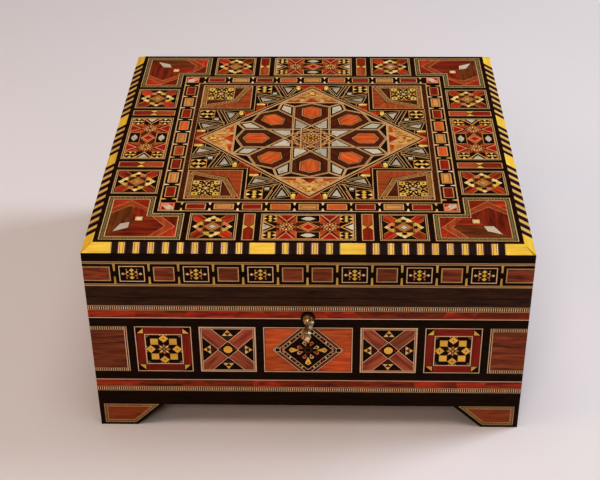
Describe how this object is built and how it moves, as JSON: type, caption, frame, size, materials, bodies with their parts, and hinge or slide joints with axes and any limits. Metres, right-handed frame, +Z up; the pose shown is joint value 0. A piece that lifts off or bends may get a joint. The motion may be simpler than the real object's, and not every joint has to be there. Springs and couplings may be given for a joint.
{
  "type": "marquetry box",
  "caption": "Square hinged wooden box on bracket feet, covered in geometric marquetry, with a cloth lining and a key that turns a barrel and slides the lock's bolt.",
  "frame": {"origin": "on the floor, under the middle of everything that sticks out, from the key's bow to the hinge knuckles", "axes": "+Z up, +X to the right seen from the front, +Y towards the hinges at the back"},
  "size_m": [0.25, 0.275, 0.128],
  "materials": {
    "board_wood": "plain softwood, waxed",
    "wenge": "dark veneer, semi-gloss lacquer",
    "boxwood": "pale stringing, semi-gloss lacquer",
    "padauk": "red veneer, semi-gloss lacquer",
    "rosewood": "figured red-brown veneer, semi-gloss lacquer",
    "orange_wood": "orange-brown veneer, semi-gloss lacquer",
    "lemonwood": "yellow veneer, semi-gloss lacquer",
    "walnut": "brown veneer, semi-gloss lacquer",
    "maroon_wood": "dark red-brown veneer, semi-gloss lacquer",
    "pearl": "mother-of-pearl, polished",
    "velvet": "short pile",
    "brass": "aged, softly polished",
    "dark_brass": "blackened with age"
  },
  "bodies": {
    "case": {"case_front": "board_wood", "case_back": "board_wood", "case_left": "board_wood", "case_right": "board_wood", "case_bottom": "board_wood", "foot_front_left": "wenge", "foot_front_right": "wenge", "foot_back_left": "wenge", "foot_back_right": "wenge", "foot_blocks": "board_wood", "front_veneer": "wenge", "back_veneer": "wenge", "left_veneer": "wenge", "right_veneer": "wenge", "red_bands": "padauk", "dotted_stringing": "boxwood", "panel_frames": "boxwood", "panel_rosewood": "rosewood", "orange_panels": "orange_wood", "panel_yellow_inlays": "lemonwood", "panel_fields": "wenge", "floor_lining": "velvet", "wall_lining": "velvet", "lock_case": "brass", "lock_cap": "brass", "keyhole_collar": "dark_brass", "case_screws": "brass", "hinge_case_leaves": "brass", "hinge_pins": "brass"},
    "lid": {"hinge_lid_leaves": "brass", "lid_board": "board_wood", "lid_front_rail": "board_wood", "lid_back_rail": "board_wood", "lid_left_rail": "board_wood", "lid_right_rail": "board_wood", "lid_side_veneers": "wenge", "lid_side_rosewood": "rosewood", "lid_side_yellow": "lemonwood", "edge_banding_dark": "wenge", "edge_banding_light": "lemonwood", "lid_lines": "boxwood", "lid_ground": "wenge", "lid_corner_blocks": "walnut", "lid_red_inlays": "padauk", "lid_orange_inlays": "orange_wood", "lid_pearl_inlays": "pearl", "lid_yellow_inlays": "lemonwood", "diamond_frame": "orange_wood", "medallion_straps": "boxwood", "medallion_petals": "maroon_wood", "medallion_hexagons": "orange_wood", "medallion_rosette": "lemonwood", "lid_lining": "velvet", "lock_link": "brass", "lid_screws": "brass"},
    "lock_barrel": {"lock_barrel": "brass"},
    "key": {"key": "brass"},
    "lock_bolt": {"lock_bolt": "brass"}
  },
  "joints": [
    {"name": "lid_hinge", "type": "hinge", "parent": "case", "child": "lid", "pos_m": [0, 0.13505, 0.09475], "axis": [-1, 0, 0], "range_deg": [0, 100]},
    {"name": "key_turn", "type": "hinge", "parent": "case", "child": "lock_barrel", "pos_m": [0, -0.11755, 0.0813], "axis": [0, 1, 0], "range_deg": [0, 90]},
    {"name": "key_pull", "type": "slide", "parent": "lock_barrel", "child": "key", "axis": [0, -1, 0], "range_m": [0, 0.012]},
    {"name": "bolt_slide", "type": "slide", "parent": "case", "child": "lock_bolt", "axis": [1, 0, 0], "range_m": [0, 0.00636]}
  ],
  "couplings": [
    {"joint": "key_turn", "follows": "bolt_slide", "rad_per_m": 246.83}
  ]
}
